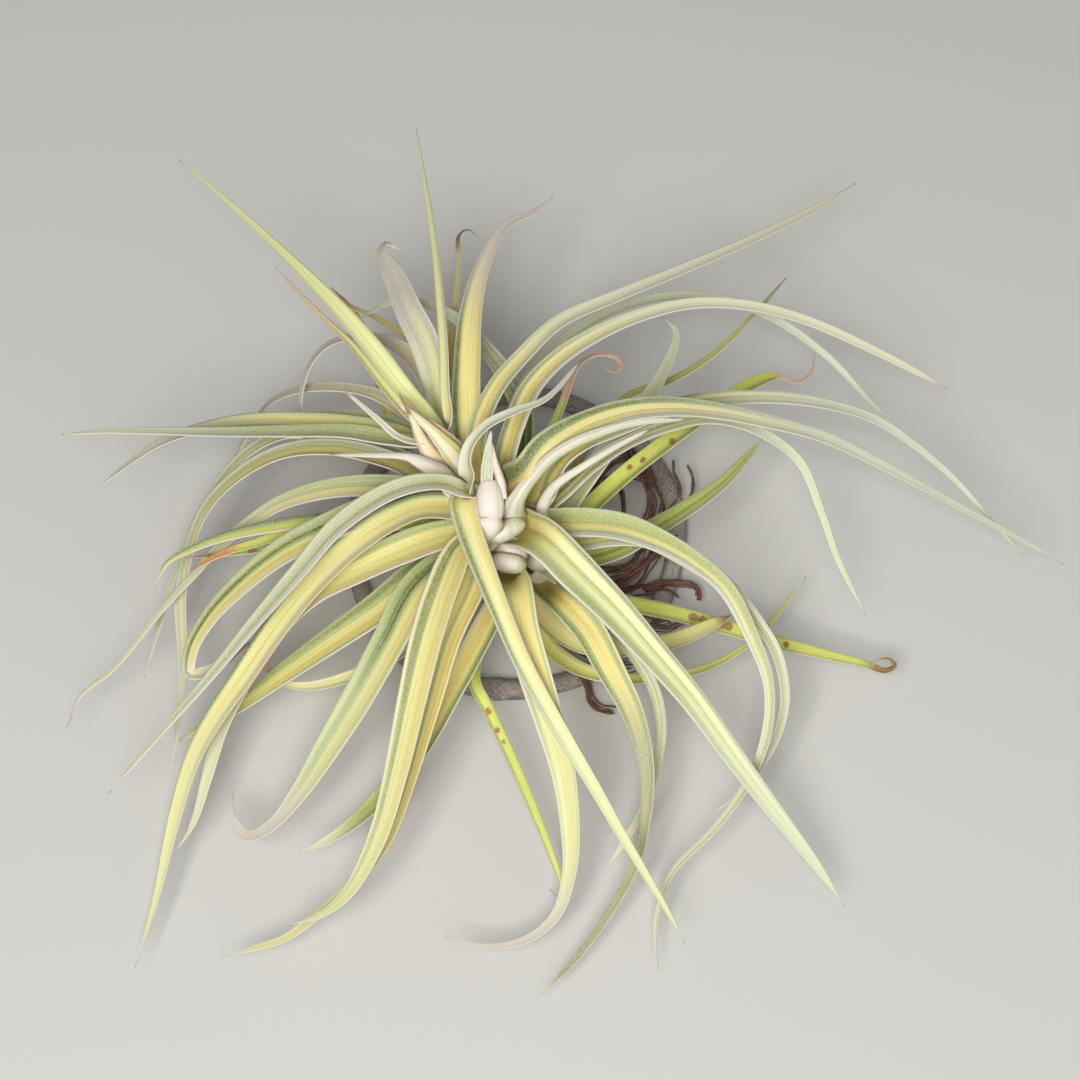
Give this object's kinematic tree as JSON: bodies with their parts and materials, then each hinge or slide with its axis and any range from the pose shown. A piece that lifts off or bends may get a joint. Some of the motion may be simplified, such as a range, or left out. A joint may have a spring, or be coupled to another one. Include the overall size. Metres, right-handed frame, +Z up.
{
  "type": "air plant",
  "caption": "Air plant with long arching striped leaves in two rosettes, rooted on a flat ring of grey vine that it rests on.",
  "frame": {"origin": "bottom centre of the whole part's box, on the surface that the ring rests on", "axes": "+Z up from that surface, +X to the picture's right, along the longest extent, -Y towards the picture's bottom"},
  "size_m": [0.4362, 0.3824, 0.1212],
  "materials": {
    "variegated": "striped yellow and green leaf, dull waxy",
    "scurfy": "grey-green leaf under a silver bloom, dull",
    "old": "yellow-green leaf, dull waxy",
    "sheath": "white to cream leaf bases, dull",
    "root": "dry brown roots, matt",
    "vine": "weathered grey bark, matt"
  },
  "bodies": {
    "root": {"vine_ring": "vine", "roots": "root", "main_bulb": "sheath", "pup_bulb": "sheath", "main_leaf_01": "scurfy", "main_leaf_02": "variegated", "main_leaf_03": "variegated", "main_leaf_04": "variegated", "main_leaf_05": "old", "main_leaf_06": "variegated", "main_leaf_07": "scurfy", "main_leaf_08": "old", "main_leaf_09": "old", "main_leaf_10": "variegated", "main_leaf_11": "scurfy", "main_leaf_12": "old", "main_leaf_13": "variegated", "main_leaf_14": "variegated", "main_leaf_15": "scurfy", "main_leaf_16": "scurfy", "main_leaf_17": "old", "main_leaf_18": "old", "main_leaf_19": "old", "main_leaf_20": "scurfy", "main_leaf_21": "variegated", "main_leaf_22": "variegated", "main_leaf_23": "scurfy", "main_leaf_24": "variegated", "main_leaf_25": "old", "main_leaf_26": "scurfy", "main_leaf_27": "scurfy", "main_leaf_28": "variegated", "main_leaf_29": "variegated", "main_leaf_30": "variegated", "main_leaf_31": "old", "main_leaf_32": "old", "main_leaf_33": "old", "main_leaf_34": "variegated", "main_leaf_35": "variegated", "main_leaf_36": "variegated", "main_leaf_37": "variegated", "main_leaf_38": "variegated", "main_leaf_39": "scurfy", "main_leaf_40": "scurfy", "pup_leaf_01": "variegated", "pup_leaf_02": "old", "pup_leaf_03": "old", "pup_leaf_04": "old", "pup_leaf_05": "scurfy", "pup_leaf_06": "scurfy", "pup_leaf_07": "variegated", "pup_leaf_08": "variegated", "pup_leaf_09": "variegated", "pup_leaf_10": "scurfy", "pup_leaf_11": "scurfy", "pup_leaf_12": "variegated", "pup_leaf_13": "scurfy", "pup_leaf_14": "scurfy", "pup_leaf_15": "scurfy"}
  },
  "joints": []
}
